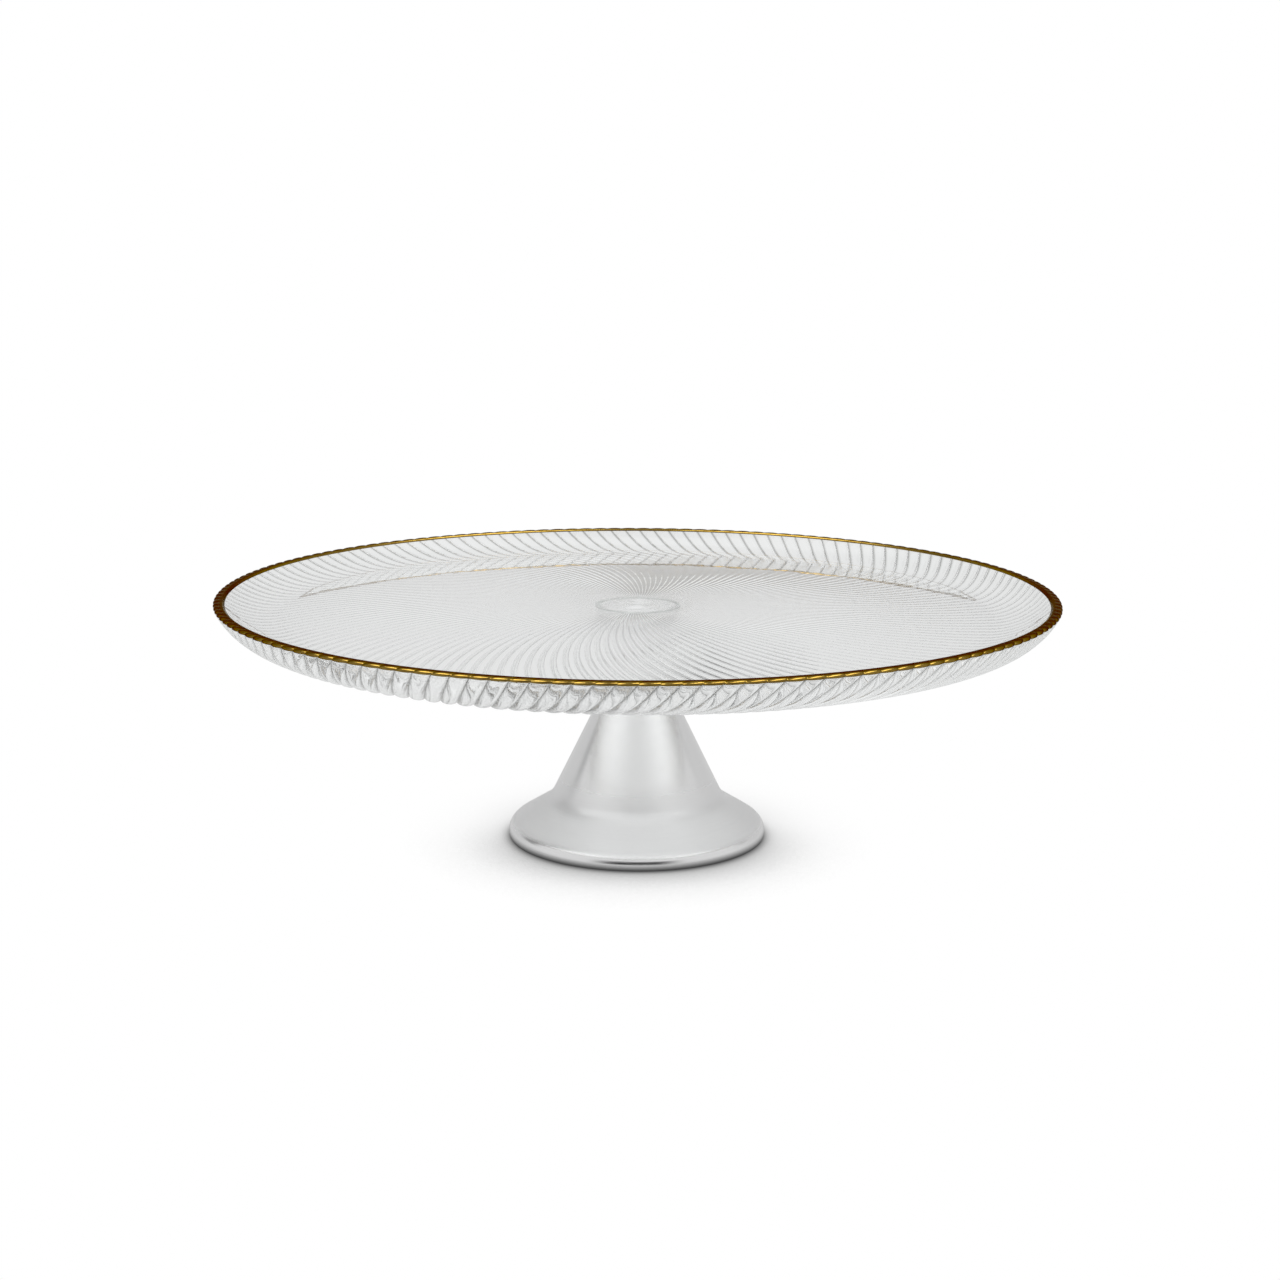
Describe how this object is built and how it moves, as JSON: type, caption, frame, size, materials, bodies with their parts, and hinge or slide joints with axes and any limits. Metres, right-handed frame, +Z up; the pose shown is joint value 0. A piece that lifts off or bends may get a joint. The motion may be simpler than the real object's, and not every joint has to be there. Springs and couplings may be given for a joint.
{
  "type": "cake stand",
  "caption": "Footed cake stand: clear pressed-glass plate with swirling ribs and a gilded rim, bonded and screwed to a hollow satin-metal trumpet foot.",
  "frame": {"origin": "centre of the foot's resting face, on the surface that the stand stands on", "axes": "+Z up along the axis of the foot and plate; the stand is round, so +X and +Y are any two level directions"},
  "size_m": [0.33, 0.33, 0.1],
  "materials": {
    "clear_glass": "polished",
    "fired_gold": "polished",
    "clear_adhesive": "gloss",
    "satin_metal": "satin",
    "plated_steel": "plated",
    "spring_steel": "dull"
  },
  "bodies": {
    "root": {"glass_plate": "clear_glass", "gold_rim": "fired_gold", "bond_ring": "clear_adhesive", "mounting_cup": "satin_metal", "captive_screw": "plated_steel", "foot_shell": "satin_metal", "wide_washer": "plated_steel", "spring_washer": "spring_steel", "hex_nut": "plated_steel"}
  },
  "joints": []
}
